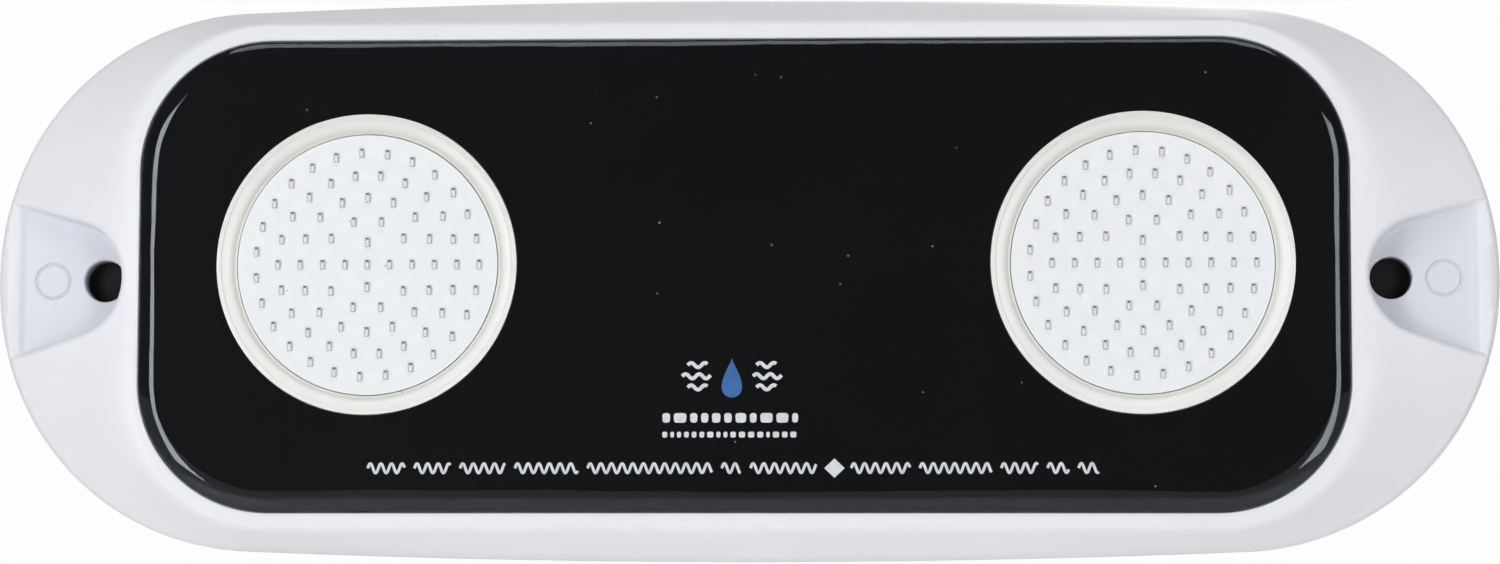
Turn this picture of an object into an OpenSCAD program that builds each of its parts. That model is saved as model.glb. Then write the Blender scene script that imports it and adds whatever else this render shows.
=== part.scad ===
// Underwater pond light: a slim resin-sealed lamp with two round LED windows, screwed to a wall by two ears.
// Pieces are drawn lying on their back, front upwards, and on_wall() stands them up: the wall is y = 0
// and the front faces -Y. The origin is the centre of the back face of the mounting pad.

/* [Housing] */
// Overall length of the housing
body_l = 300; // [280:1:380]
// Overall width of the housing
body_w = 112.4; // [106:0.2:140]
// Depth of the housing from its back face to its rim
housing_depth = 16; // [15:0.5:24]
// Radius of the rounded ends, at their tips
end_r = 57.8; // [50:0.2:60]
// Half of the angle that the tip arc of each end covers
end_arc = 25.5; // [15:0.5:35]
// Radius of the slightly bowed long sides
side_r = 2430; // [1500:10:4000]
// Height of the flange edge above the back face
edge_h = 6; // [5:0.5:7]
// Length of each ear, from the tip to the rim
ear_l = 25.6; // [25:0.1:32]
// Width of the sloping skirt along the long sides
skirt_w = 5.6; // [4:0.1:9]
// Width of the rim at the short sides
rim_end = 4.7; // [3.5:0.1:7]
// Width of the rim at the long sides
rim_side = 3.6; // [3:0.1:6]
// Corner radius of the front opening
opening_r = 26.2; // [20:0.2:32]
// Wall thickness of the moulding
wall_t = 2.6; // [2:0.1:3]
// Width of the ledge that carries the front panel
ledge_w = 2.2; // [1.5:0.1:3]

/* [Ears] */
// Diameter of the two mounting holes
hole_d = 8.4; // [5:0.1:9]
// Distance from the tip of the ear to the centre of its hole
hole_inset = 21.5; // [20:0.1:22.5]
// Radius of the round end of the ear pocket
pocket_r = 11.5; // [10:0.1:12]
// Distance from the tip of the ear to the centre of that round end
pocket_inset = 14.8; // [14:0.1:16]
// Half width of the pocket at its outer end
pocket_flare = 15; // [13:0.1:17]
// Width of the lip between the pocket and the tip
lip_w = 4.4; // [3:0.1:6]
// Depth of the pocket floor below that lip
lip_step = 0.5; // [0.2:0.1:1]
// Diameter of the ejector mark on the pocket floor
mark_d = 6.9; // [4:0.1:8]
// Distance from the tip of the ear to the centre of the mark
mark_inset = 11; // [9:0.1:12]
// Depth of the ejector mark
mark_depth = 0.2; // [0.1:0.05:0.4]

/* [Front] */
// Thickness of the black front panel
panel_t = 2; // [1.5:0.1:2.5]
// Depth of the front panel's face below the rim
panel_drop = 0.2; // [0.1:0.1:0.6]
// Height of the domed clear coat above the panel
coat_t = 1.8; // [1:0.1:2.4]
// Width over which the coat's edge rounds off
coat_round = 3; // [2:0.1:4]
// Distance from the end of the opening to the centre of each window
window_inset = 43; // [36:0.5:48]
// Sideways offset of the pair of windows from the centre
window_shift = 2.4; // [-4:0.1:4]
// Upward offset of the pair of windows from the centre
window_rise = 2.3; // [-4:0.1:4]
// Diameter of the round windows
window_d = 59.8; // [56:0.2:62]
// Width of the flat lip around the light cup
cup_lip = 0.9; // [0.6:0.1:1.5]
// Width of the cup's flange behind the panel
cup_flange = 2.4; // [1.5:0.1:3]

/* [Light engine] */
// Width of the sloping ring between the LED board and the window's edge
cup_slope = 4; // [3.6:0.1:4.6]
// Thickness of the LED board
led_board_t = 1.6; // [1:0.1:2]
// Distance from the LED board's edge to its outer ring of LEDs
led_margin = 3.6; // [3:0.1:5]
// Width of one LED
led_w = 0.9; // [0.6:0.05:1.2]
// Length of one LED
led_l = 1.85; // [1.2:0.05:2.4]
// Height of one LED
led_h = 0.6; // [0.4:0.05:0.8]
// Thickness of the thermal pad
thermal_t = 0.5; // [0.3:0.1:1]
// Thickness of the foot of the heat spreader
spreader_t = 2.2; // [1.5:0.1:2.4]
// Diameter of the foot of the heat spreader
spreader_d = 56; // [52:0.5:60]
// Diameter of the passage for the wires
wire_way_d = 6.4; // [5:0.2:8]

/* [Driver] */
// Length of the driver board
driver_l = 72; // [68:0.5:74]
// Width of the driver board
driver_w = 46; // [44:0.5:48]
// Thickness of the driver board
driver_t = 1.6; // [1:0.1:2]
// Height of the posts under the driver board
post_h = 3; // [2.5:0.1:3.4]
// Diameter of the posts
post_d = 6.4; // [5:0.1:7]
// Thread diameter of the board screws
screw_d = 2.5; // [2:0.1:3]
// Upward offset of the driver board from the centre
driver_rise = 16; // [15:0.5:18]
// Diameter of the insulated wires
wire_d = 1.7; // [1.2:0.1:2.2]
// Depth of the potting resin
resin_h = 3.8; // [3:0.1:4]

/* [Cable entry] */
// Thread diameter of the cable gland
gland_d = 16; // [12:0.5:16]
// Width across the flats of the gland's hexagons
gland_af = 20; // [18:0.5:21]
// Bore of the gland's rubber seal, for the cable
cable_d = 7; // [5:0.1:8]
// Downward offset of the gland from the centre
gland_drop = 26; // [25:0.5:28]
// Thickness of the locknut
locknut_t = 4; // [3:0.5:5]
// Length of the gland's clamping cap
cap_l = 12; // [10:0.5:16]

/* [Mounting pad] */
// Thickness of the rubber mounting pad
pad_t = 2; // [1.5:0.1:4]
// Distance of the pad's edge inside the housing's edge
pad_inset = 1.4; // [0.8:0.1:3]
// Thickness of the skin that a mounting screw pierces
pad_skin = 0.6; // [0.4:0.1:1]
// Diameter of the blind pilot behind that skin
pilot_d = 4.4; // [3:0.1:5]

/* [Hidden] */
$fn = 96;
eps = 0.01;

// Clearances
fit = 0.2;        // a plate, cup or coat in its opening
bond = 0.05;      // the glue line under the clear coat
part_gap = 0.3;   // potting resin round the parts that it holds
thread_gap = 0.1; // a thread or pin in its hole

// Heights above the wall, from back to front
back_h = pad_t;
edge_top = back_h + edge_h;
rim_h = back_h + housing_depth;
floor_h = back_h + wall_t;
panel_top = rim_h - panel_drop;
panel_back = panel_top - panel_t;
pocket_h = edge_top - lip_step;
led_face = panel_top - led_board_t;
led_seat = led_face - led_board_t;
cup_back = led_seat - 1.8;
spreader_back = cup_back - spreader_t;
driver_h = floor_h + post_h;
driver_top = driver_h + driver_t;

// Outlines, as half lengths and half widths
rim_x = body_l / 2 - ear_l;
rim_y = body_w / 2 - skirt_w;
opening_x = rim_x - rim_end;
opening_y = rim_y - rim_side;
rim_r = opening_r + (rim_end + rim_side) / 2;
cavity_x = opening_x - ledge_w;
cavity_y = opening_y - ledge_w;
cavity_r = opening_r - ledge_w;
hole_x = body_l / 2 - hole_inset;
pocket_x = body_l / 2 - pocket_inset;
mark_x = body_l / 2 - mark_inset;
window_x = opening_x - window_inset;
window_r = window_d / 2;
led_board_d = window_d - 2 * cup_slope;
post_in = 3.6;
post_x = driver_l / 2 - post_in;
post_y = driver_w / 2 - post_in;

// Stations round an outline: on the tip, on the corner and on the side of each quarter
n_tip = 5;
n_corner = 12;
n_side = 6;
n_quarter = n_tip + n_corner + n_side;

// LEDs on each ring, from the centre outwards
led_rings = [1, 4, 10, 16, 22, 27];
led_pitch = (led_board_d / 2 - led_margin) / (len(led_rings) - 1);

// ---- outlines ----

// The housing's outline: a tip arc, a corner arc and a nearly straight side arc that meet smoothly
end_centre = [body_l / 2 - end_r, 0];
side_centre = [0, body_w / 2 - side_r];
tip_dir = [cos(end_arc), sin(end_arc)];
centre_gap = end_centre - side_centre;
corner_step = (pow(side_r - end_r, 2) - centre_gap * centre_gap)
            / (2 * (centre_gap * tip_dir - (side_r - end_r)));
corner_r = end_r - corner_step;
corner_centre = end_centre + corner_step * tip_dir;
side_dir = corner_centre - side_centre;
corner_arc = atan2(side_dir[1], side_dir[0]);

function turn(a) = [cos(a), sin(a)];

// Angle of the outline's normal at station i of a quarter
function body_angle(i) =
    i < n_tip ? end_arc * i / n_tip
    : i < n_tip + n_corner ? end_arc + (corner_arc - end_arc) * (i - n_tip) / n_corner
    : corner_arc + (90 - corner_arc) * (i - n_tip - n_corner) / n_side;

function body_point(i, inset) =
    i < n_tip ? end_centre + (end_r - inset) * turn(body_angle(i))
    : i < n_tip + n_corner ? corner_centre + (corner_r - inset) * turn(body_angle(i))
    : side_centre + (side_r - inset) * turn(body_angle(i));

// A rounded rectangle with the same stations
function rect_point(i, half_x, half_y, r) =
    i < n_tip ? [half_x, (half_y - r) * i / n_tip]
    : i < n_tip + n_corner ? [half_x - r, half_y - r] + r * turn(90 * (i - n_tip) / n_corner)
    : [(half_x - r) * (1 - (i - n_tip - n_corner) / n_side), half_y];

// Quarter q's mirror image of a point, and the station of the quarter that ring station k stands for
function mirrored(p, q) = [q == 1 || q == 2 ? -p[0] : p[0], q > 1 ? -p[1] : p[1]];
function quarter(k) = floor(k / n_quarter);
function station(k) = quarter(k) % 2 == 0 ? k % n_quarter : n_quarter - k % n_quarter;

function ring3(points, h) = [for (p = points) [p[0], p[1], h]];
function body_ring(inset) =
    [for (k = [0 : 4 * n_quarter - 1]) mirrored(body_point(station(k), inset), quarter(k))];
function rect_ring(half_x, half_y, r) =
    [for (k = [0 : 4 * n_quarter - 1]) mirrored(rect_point(station(k), half_x, half_y, r), quarter(k))];
function middle(ring) = [for (p = ring) 1] * ring / len(ring);
function blend(a, b, t) = [for (k = [0 : len(a) - 1]) a[k] * (1 - t) + b[k] * t];

// ---- helpers ----

// Stands a piece that lies on its back up against the wall
module on_wall() {
    rotate([90, 0, 0]) children();
}

// Skin over a stack of rings, from the first to the last, with a fan of triangles over each end
module loft(rings) {
    n = len(rings[0]);
    last = (len(rings) - 1) * n;
    middles = [middle(rings[0]), middle(rings[len(rings) - 1])];
    sides = [for (r = [0 : len(rings) - 2], k = [0 : n - 1])
        let (a = r * n + k, b = r * n + (k + 1) % n)
        each [[a, a + n, b + n], [a, b + n, b]]];
    first_end = [for (k = [0 : n - 1]) [last + n, k, (k + 1) % n]];
    last_end = [for (k = [0 : n - 1]) [last + n + 1, last + (k + 1) % n, last + k]];
    polyhedron(points = concat([for (ring = rings) each ring], middles),
               faces = concat(first_end, sides, last_end));
}

// A rounded plate from height z0 to height z1
module rounded_plate(half_x, half_y, r, z0, z1) {
    translate([0, 0, z0]) linear_extrude(z1 - z0) {
        square([2 * (half_x - r), 2 * half_y], center = true);
        square([2 * half_x, 2 * (half_y - r)], center = true);
        for (x = [-1, 1], y = [-1, 1]) translate([x * (half_x - r), y * (half_y - r)]) circle(r);
    }
}

// A round piece from height z0 to height z1
module disc(r, z0, z1) {
    translate([0, 0, z0]) cylinder(r = r, h = z1 - z0);
}

// A hexagon across the flats from height z0 to height z1
module hexagon(flats, z0, z1) {
    translate([0, 0, z0]) cylinder(d = flats / cos(30), h = z1 - z0, $fn = 6);
}

// A box centred on x and y, from height z0 to height z1
module block(size_x, size_y, z0, z1) {
    translate([-size_x / 2, -size_y / 2, z0]) cube([size_x, size_y, z1 - z0]);
}

module at_both_ends() {
    children();
    mirror([1, 0, 0]) children();
}

// Places a piece at the left (side = -1) or the right (side = 1) window
module at_window(side) {
    translate([window_shift + side * window_x, window_rise, 0]) children();
}

module at_windows() {
    for (side = [-1, 1]) at_window(side) children();
}

module at_driver() {
    translate([0, driver_rise, 0]) children();
}

module at_posts() {
    for (x = [-1, 1], y = [-1, 1]) translate([x * post_x, y * post_y, 0]) children();
}

module at_gland() {
    translate([0, -gland_drop, 0]) children();
}

// ---- housing ----

// Outline of an ear pocket, grown all round and carried on beyond its outer end by reach
module pocket_outline(grow, reach) {
    end_x = body_l / 2 - lip_w - pocket_x;
    far = [end_x, pocket_flare + grow];
    r = pocket_r + grow;
    a = atan2(far[1], far[0]) + acos(r / norm(far));
    flare = tan(a - 90);
    tip = far + [reach, reach * flare];
    touch = r * turn(a);
    translate([pocket_x, 0]) {
        circle(r);
        polygon([[touch[0], -touch[1]], [tip[0], -tip[1]], tip, touch]);
    }
}

// The outer form: a flange edge, then a slope up to the crowned rim
module housing_form() {
    body = body_ring(0);
    rim = rect_ring(rim_x, rim_y, rim_r);
    crown = rect_ring(rim_x - 1.2, rim_y - 1.2, rim_r - 1.2);
    opening = rect_ring(opening_x, opening_y, opening_r);
    loft([
        ring3(body_ring(0.5), back_h),
        ring3(body, back_h + 0.6),
        ring3(body, edge_top - 1),
        ring3(body_ring(0.2), edge_top - 0.4),
        ring3(body_ring(0.7), edge_top),
        ring3(blend(body, rim, 0.5), (edge_top + rim_h - 1) / 2),
        ring3(blend(body, rim, 0.97), rim_h - 1.3),
        ring3(blend(rim, crown, 0.3), rim_h - 0.6),
        ring3(crown, rim_h - 0.2),
        ring3(opening, rim_h)
    ]);
}

// The hollow behind the ears and the skirt, which leaves the walls, the tub and the screw tubes standing
module housing_hollow() {
    body = body_ring(wall_t);
    rim = rect_ring(rim_x - 1, rim_y - 1, rim_r - 1);
    difference() {
        loft([
            ring3(body, back_h - 1),
            ring3(body, edge_top - wall_t),
            ring3(blend(body, rim, 1), rim_h - wall_t - 2)
        ]);
        rounded_plate(cavity_x + wall_t, cavity_y + wall_t, cavity_r + wall_t, back_h - 2, rim_h);
        at_both_ends() {
            translate([0, 0, pocket_h - wall_t]) linear_extrude(rim_h) pocket_outline(wall_t, 20);
            translate([hole_x, 0, 0]) disc(hole_d / 2 + wall_t, back_h - 2, rim_h);
        }
    }
}

module housing() {
    color("whitesmoke") on_wall() difference() {
        union() {
            difference() {
                housing_form();
                housing_hollow();
                rounded_plate(opening_x, opening_y, opening_r, panel_back, rim_h + 1);
                rounded_plate(cavity_x, cavity_y, cavity_r, floor_h, rim_h);
            }
            at_driver() at_posts() disc(post_d / 2, floor_h - eps, driver_h);
        }
        at_both_ends() {
            translate([0, 0, edge_top]) linear_extrude(rim_h) pocket_outline(0, 20);
            translate([0, 0, pocket_h]) linear_extrude(rim_h) pocket_outline(0, 0);
            translate([mark_x, 0, 0]) disc(mark_d / 2, pocket_h - mark_depth, rim_h);
            translate([hole_x, 0, 0]) disc(hole_d / 2, back_h - 1, rim_h);
        }
        at_driver() at_posts() disc(screw_d / 2 + thread_gap, floor_h, rim_h);
        at_gland() disc(gland_d / 2 + thread_gap, back_h - 1, rim_h);
    }
}

module mounting_pad() {
    color("dimgray") on_wall() difference() {
        linear_extrude(pad_t) polygon(body_ring(pad_inset));
        at_gland() disc(gland_af / 2 / cos(30) + 1, -1, pad_t + 1);
        at_both_ends() translate([hole_x, 0, 0]) disc(pilot_d / 2, -1, pad_t - pad_skin);
    }
}

// ---- front ----

module front_panel() {
    color("#141517") on_wall() difference() {
        rounded_plate(opening_x - fit, opening_y - fit, opening_r - fit, panel_back, panel_top);
        at_windows() disc(window_r + fit, panel_back - 1, panel_top + 1);
    }
}

module clear_coat() {
    base = panel_top + bond;
    top = panel_top + coat_t;
    rise = top - base - 0.3;
    color("lightblue", 0.3) on_wall() union() {
        loft(concat(
            [ring3(rect_ring(opening_x - fit, opening_y - fit, opening_r - fit), base)],
            [for (a = [0 : 15 : 90])
                let (inset = fit + coat_round * (1 - cos(a)))
                ring3(rect_ring(opening_x - inset, opening_y - inset, opening_r - inset),
                      base + 0.3 + rise * sin(a))]));
        at_windows() disc(window_r - cup_lip - 1.8, led_face + led_h + 0.1, base + eps);
    }
}

module light_cup(side) {
    bowl_r = led_board_d / 2 + fit;
    color("ivory") on_wall() at_window(side) difference() {
        union() {
            disc(window_r, cup_back, panel_top);
            disc(window_r + cup_flange, cup_back, panel_back);
        }
        translate([0, 0, led_face]) cylinder(r1 = bowl_r + 0.5, r2 = window_r - cup_lip, h = panel_top - led_face + eps);
        disc(window_r - cup_lip - eps, panel_top - eps, panel_top + 1);
        disc(bowl_r, led_seat, led_face + 1);
        disc(bowl_r - 3, cup_back - 1, led_seat + 1);
    }
}

// ---- light engine ----

module led_board(side) {
    color("white") on_wall() at_window(side) disc(led_board_d / 2, led_seat, led_face);
}

module leds(side) {
    color("khaki") on_wall() at_window(side)
        for (ring = [0 : len(led_rings) - 1], k = [0 : led_rings[ring] - 1])
            translate(concat(ring * led_pitch * turn(360 * k / led_rings[ring]), 0))
                block(led_w, led_l, led_face, led_face + led_h);
}

// The passage for a pair of wires, on the side of each window that faces the driver
wire_way_x = led_board_d / 2 - 8;
module wire_way(side, z0, z1) {
    translate([-side * wire_way_x, 0, 0]) disc(wire_way_d / 2, z0, z1);
}

module thermal_pad(side) {
    color("lightsteelblue") on_wall() at_window(side) difference() {
        disc(led_board_d / 2 - 3.4, led_seat - thermal_t, led_seat);
        wire_way(side, 0, led_seat + 1);
    }
}

module heat_spreader(side) {
    color("silver") on_wall() at_window(side) difference() {
        union() {
            disc(led_board_d / 2 - 3.4, spreader_back, led_seat - thermal_t);
            disc(spreader_d / 2, spreader_back, cup_back);
        }
        wire_way(side, 0, led_seat + 1);
    }
}

// ---- driver ----

module driver_board() {
    color("seagreen") on_wall() at_driver() difference() {
        block(driver_l, driver_w, driver_h, driver_top);
        at_posts() disc(screw_d / 2 + thread_gap, 0, rim_h);
    }
}

module board_screws() {
    color("silver") on_wall() at_driver() at_posts() {
        disc(screw_d / 2, floor_h + 0.3, driver_top + eps);
        difference() {
            disc(screw_d, driver_top, driver_top + 1.6);
            block(screw_d * 1.3, 0.6, driver_top + 0.9, driver_top + 2);
            block(0.6, screw_d * 1.3, driver_top + 0.9, driver_top + 2);
        }
    }
}

module inductor() {
    color("#3a3a3c") on_wall() at_driver() translate([-8, 6, 0]) difference() {
        block(12, 12, driver_top, driver_top + 5);
        for (x = [-1, 1], y = [-1, 1]) translate([x * 7, y * 7, 0]) rotate([0, 0, 45]) block(4, 4, 0, rim_h);
    }
}

module capacitors() {
    color("gainsboro") on_wall() at_driver() for (y = [-9, 0, 9]) translate([22, y, 0]) {
        block(6.6, 6.6, driver_top, driver_top + 0.8);
        disc(3.1, driver_top, driver_top + 5.4);
    }
}

module rectifier() {
    color("#202022") on_wall() at_driver() translate([-24, 6, 0]) {
        block(8.4, 6.4, driver_top, driver_top + 3);
        for (x = [-2.5, 2.5], y = [-1, 1]) translate([x, y * 4, 0]) block(1.2, 1.8, driver_top, driver_top + 1);
    }
}

module driver_chips() {
    color("#28282a") on_wall() at_driver() for (x = [8, 8 - 16]) translate([x, -9, 0]) {
        block(5, 4, driver_top + 0.1, driver_top + 1.6);
        for (pin = [-1.9 : 1.27 : 1.95]) translate([pin, 0, 0]) block(0.4, 6, driver_top, driver_top + 0.5);
    }
}

module chip_resistors() {
    color("#303034") on_wall() at_driver() for (x = [3 : 4 : 15], y = [2, 12])
        translate([x, y, 0]) block(1.6, 3.2, driver_top, driver_top + 0.6);
}

module terminal_block() {
    color("royalblue") on_wall() at_driver() translate([-25, -12, 0]) difference() {
        block(10, 8, driver_top, driver_top + 5.6);
        for (x = [-2.5, 2.5]) translate([x, 0, 0]) {
            translate([0, 1, 0]) disc(1.6, driver_top + 4.4, rim_h);
            translate([0, -4, driver_top + 1.9]) rotate([-90, 0, 0]) translate([0, 0, -1]) cylinder(r = 1.1, h = 4);
        }
    }
}

// Points round the bends of a path, which start and end reach[k] either side of each bend
function unit(v) = v / norm(v);
function rounded(path, reach) = concat(
    [path[0]],
    [for (k = [1 : len(path) - 2], t = [0 : 0.25 : 1])
        let (before = path[k] + reach[k - 1] * unit(path[k - 1] - path[k]),
             after = path[k] + reach[k - 1] * unit(path[k + 1] - path[k]))
        pow(1 - t, 2) * before + 2 * t * (1 - t) * path[k] + t * t * after],
    [path[len(path) - 1]]);

// A ring of a tube round point k of a path that never runs along y
function tube_ring(path, k, r) =
    let (ahead = unit(path[min(k + 1, len(path) - 1)] - path[max(k - 1, 0)]),
         across = unit(cross([0, 1, 0], ahead)),
         up = cross(ahead, across))
    [for (a = [0 : 36 : 324]) path[k] + r * (cos(a) * across + sin(a) * up)];

// A wire from the end of the driver board, along under the light engine and up to the LED board
module wire(side, offset_y) {
    r = wire_d / 2;
    start = [side * (driver_l / 2 - 2), driver_rise - driver_w / 2 + 8 + offset_y, driver_top + r + bond];
    knee = start + [side * 3, 0, 0];
    low = floor_h + resin_h + bond + r;
    dip = [knee[0] + side * 2.5, start[1], low];
    under = [window_shift + side * (window_x - wire_way_x), window_rise + offset_y, low];
    end = [under[0], under[1], led_seat - bond];
    path = rounded([start, knee, dip, under, end], [1.2, 1.2, 2.5]);
    loft([for (k = [0 : len(path) - 1]) tube_ring(path, k, r)]);
}

module positive_wires() {
    color("red") on_wall() for (side = [-1, 1]) wire(side, 1.2);
}

module negative_wires() {
    color("#222222") on_wall() for (side = [-1, 1]) wire(side, -1.2);
}

// Cured resin in the bottom of the tub, cast round the driver board, its posts and the locknut
module potting_resin() {
    color("#4a4d52", 0.9) on_wall() difference() {
        rounded_plate(cavity_x, cavity_y, cavity_r, floor_h, floor_h + resin_h);
        at_driver() block(driver_l + 2 * part_gap, driver_w + 2 * part_gap, driver_h - part_gap, rim_h);
        at_driver() at_posts() disc(post_d / 2 + part_gap, 0, rim_h);
        at_gland() disc(gland_af / 2 / cos(30) + part_gap, 0, rim_h);
    }
}

// ---- cable entry ----

module gland_body() {
    flange = 5;
    color("silver") on_wall() at_gland() difference() {
        union() {
            disc(gland_d / 2, back_h - 1 - flange - 7, floor_h + locknut_t + 1.4);
            hexagon(gland_af, back_h - 1 - flange, back_h - 1);
        }
        disc(gland_d / 2 - 3, back_h - flange - 2, rim_h);
        disc(gland_d / 2 - 2, back_h - 30, back_h - flange - 2);
    }
}

module gland_washer() {
    color("#222222") on_wall() at_gland() difference() {
        disc(gland_af / 2 - 0.3, back_h - 1, back_h);
        disc(gland_d / 2 + thread_gap, 0, back_h + 1);
    }
}

module gland_locknut() {
    color("silver") on_wall() at_gland() difference() {
        hexagon(gland_af, floor_h, floor_h + locknut_t);
        disc(gland_d / 2 + thread_gap, 0, rim_h);
    }
}

module gland_seal() {
    color("#1c1c1e") on_wall() at_gland() difference() {
        disc(gland_d / 2 - 2 - thread_gap, back_h - 13, back_h - 7);
        disc(cable_d / 2, back_h - 30, rim_h);
    }
}

module gland_cap() {
    flange_back = back_h - 6;
    color("silver") on_wall() at_gland() difference() {
        hexagon(gland_af, flange_back - cap_l + 2, flange_back - 0.4);
        disc(gland_d / 2 + thread_gap, flange_back - 7.1, rim_h);
        disc(cable_d / 2 + 0.4, flange_back - cap_l - 1, rim_h);
    }
}

housing();
mounting_pad();
front_panel();
clear_coat();
light_cup(-1);  // light_cup_left
light_cup(1);  // light_cup_right
led_board(-1);  // led_board_left
led_board(1);  // led_board_right
leds(-1);  // leds_left
leds(1);  // leds_right
thermal_pad(-1);  // thermal_pad_left
thermal_pad(1);  // thermal_pad_right
heat_spreader(-1);  // heat_spreader_left
heat_spreader(1);  // heat_spreader_right
potting_resin();
driver_board();
board_screws();
inductor();
capacitors();
rectifier();
driver_chips();
chip_resistors();
terminal_block();
positive_wires();
negative_wires();
gland_body();
gland_washer();
gland_locknut();
gland_seal();
gland_cap();
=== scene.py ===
# %% [markdown]
# # An underwater pond light, piece by piece
# This is a slim light that is screwed flat to the wall of a pond. Its electronics are sealed in resin,
# and two round windows hold eighty small light chips each. The measured parts come first, as a fixed
# frame, and everything below is built around them in the same place and in metres.

# %% Load the measured parts
import math
import bmesh
import bpy
import numpy as np
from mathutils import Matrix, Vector
from mathutils.geometry import delaunay_2d_cdt


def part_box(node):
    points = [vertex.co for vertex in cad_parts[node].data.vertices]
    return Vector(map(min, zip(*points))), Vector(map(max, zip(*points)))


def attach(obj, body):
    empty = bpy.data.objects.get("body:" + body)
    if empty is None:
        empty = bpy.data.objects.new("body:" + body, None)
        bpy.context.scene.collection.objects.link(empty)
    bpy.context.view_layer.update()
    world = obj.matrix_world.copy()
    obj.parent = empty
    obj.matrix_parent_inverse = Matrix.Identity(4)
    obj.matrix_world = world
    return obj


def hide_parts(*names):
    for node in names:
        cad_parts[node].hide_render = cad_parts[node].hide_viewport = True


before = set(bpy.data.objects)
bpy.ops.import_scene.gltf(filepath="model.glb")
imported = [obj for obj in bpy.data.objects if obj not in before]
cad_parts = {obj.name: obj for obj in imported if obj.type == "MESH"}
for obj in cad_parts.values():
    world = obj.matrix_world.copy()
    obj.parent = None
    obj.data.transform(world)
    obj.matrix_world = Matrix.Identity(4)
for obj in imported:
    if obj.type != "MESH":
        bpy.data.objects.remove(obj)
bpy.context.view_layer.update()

scene = bpy.context.scene
MM = 0.001

# %% [markdown]
# ## The sizes that the looks share
# The light is drawn lying on its back, so a height is a distance from the wall, in millimetres.
# Most sizes are read from the frame's boxes. The rest are the mould's radii, which a box can't tell.

# %% Read the main sizes
def size_mm(node):
    low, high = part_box(node)
    return [round((high[k] - low[k]) / MM, 3) for k in (0, 2, 1)]

def height_mm(node):
    low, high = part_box(node)
    return round(-high[1] / MM, 3), round(-low[1] / MM, 3)

body_l, body_w, _ = size_mm("housing")
back_h, rim_h = height_mm("housing")
panel_back, panel_top = height_mm("front_panel")
led_seat, led_face = height_mm("led_board_left")
coat_top = height_mm("clear_coat")[1]
cup_back = height_mm("light_cup_left")[0]
floor_h = height_mm("potting_resin")[0]
opening_x = size_mm("front_panel")[0] / 2 + 0.2
opening_y = size_mm("front_panel")[1] / 2 + 0.2
board_r = size_mm("led_board_left")[0] / 2
led_w, led_l, led_h = 0.9, 1.85, height_mm("leds_left")[1] - led_face
windows = []
for name in ("led_board_left", "led_board_right"):
    low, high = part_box(name)
    windows.append(((low[0] + high[0]) / 2 / MM, (low[2] + high[2]) / 2 / MM))
window_r = board_r + 4
coat_base = panel_top + 0.05
edge_top = 8
opening_r = 26.2
rim_out_x, rim_out_y = 4.7, 3.6
rim_x, rim_y, rim_r = opening_x + rim_out_x, opening_y + rim_out_y, opening_r + 4.15
hole_x, hole_r = 128.5, 4.2
gland_y = (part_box("gland_body")[0][2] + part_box("gland_body")[1][2]) / 2 / MM
print("body", body_l, body_w, "rim height", rim_h, "windows at", windows)

# %% [markdown]
# ## Standing the pieces up and hanging them on the frame
# Points are drawn as (x, y, height) and turned up to face forwards in one step. Every piece goes
# through the same few lines: make the mesh, shade it smooth except over real edges, give it its
# finishes and let it ride with the one rigid body.

# %% Make a piece
def stand_up(points):
    p = np.asarray(points, float).reshape(-1, 3)
    return np.column_stack([p[:, 0], -p[:, 2], p[:, 1]]) * MM

def piece(name, points, faces, slot, finishes, replaces=(), crease=35, face_finish=None, merge=True, normals=None):
    mesh = bpy.data.meshes.new(name)
    mesh.from_pydata(stand_up(points).tolist(), [], [tuple(int(v) for v in f) for f in faces])
    for finish in finishes:
        mesh.materials.append(finish)
    if face_finish is not None:
        mesh.polygons.foreach_set("material_index", np.asarray(face_finish, np.int32))
    mesh.polygons.foreach_set("use_smooth", np.ones(len(mesh.polygons), bool))
    if merge:
        work = bmesh.new()
        work.from_mesh(mesh)
        bmesh.ops.remove_doubles(work, verts=work.verts, dist=2e-6)
        bmesh.ops.dissolve_degenerate(work, edges=work.edges, dist=1e-7)
        work.to_mesh(mesh)
        work.free()
    mesh.set_sharp_from_angle(angle=math.radians(crease))
    if normals is not None:
        mesh.normals_split_custom_set_from_vertices(normals(mesh))
    obj = bpy.data.objects.new(name, mesh)
    scene.collection.objects.link(obj)
    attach(obj, "root")
    if replaces:
        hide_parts(*replaces)
    print(name, len(mesh.polygons), "faces")
    return obj

# %% [markdown]
# ## Rings, skins and turned shapes
# Almost everything on a moulded light is a stack of rings. A skin joins each ring to the next.
# A turned shape is the same thing with round rings, so a cup, a washer and a nut share one helper.
# The skin could be a Screw modifier, but a nut's flats and a thread change the radius on the way round.

# %% Join rings into a skin
def skin(rings, loop=False):
    n = len(rings[0])
    points = np.vstack(rings)
    steps = len(rings) if loop else len(rings) - 1
    faces = []
    for r in range(steps):
        a, b = r * n, ((r + 1) % len(rings)) * n
        for k in range(n):
            j = (k + 1) % n
            faces.append((a + k, a + j, b + j, b + k))
    return points, faces

def join(parts):
    points, faces, finish, start = [], [], [], 0
    for index, (p, f) in enumerate(parts):
        points.append(np.asarray(p, float))
        faces += [tuple(v + start for v in face) for face in f]
        finish += [index] * len(f)
        start += len(p)
    return np.vstack(points), faces, finish

def turned(profile, n, centre, shape=lambda r, h, a: r, loop=True):
    a = np.arange(n) * 2 * math.pi / n
    rings = []
    for r, h in profile:
        reach = np.array([shape(r, h, angle) for angle in a])
        rings.append(np.column_stack([centre[0] + reach * np.cos(a), centre[1] + reach * np.sin(a), np.full(n, h)]))
    return skin(rings, loop)

print("a skin over two rings of four points has", len(skin([np.zeros((4, 3))] * 2)[1]), "faces")

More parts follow.
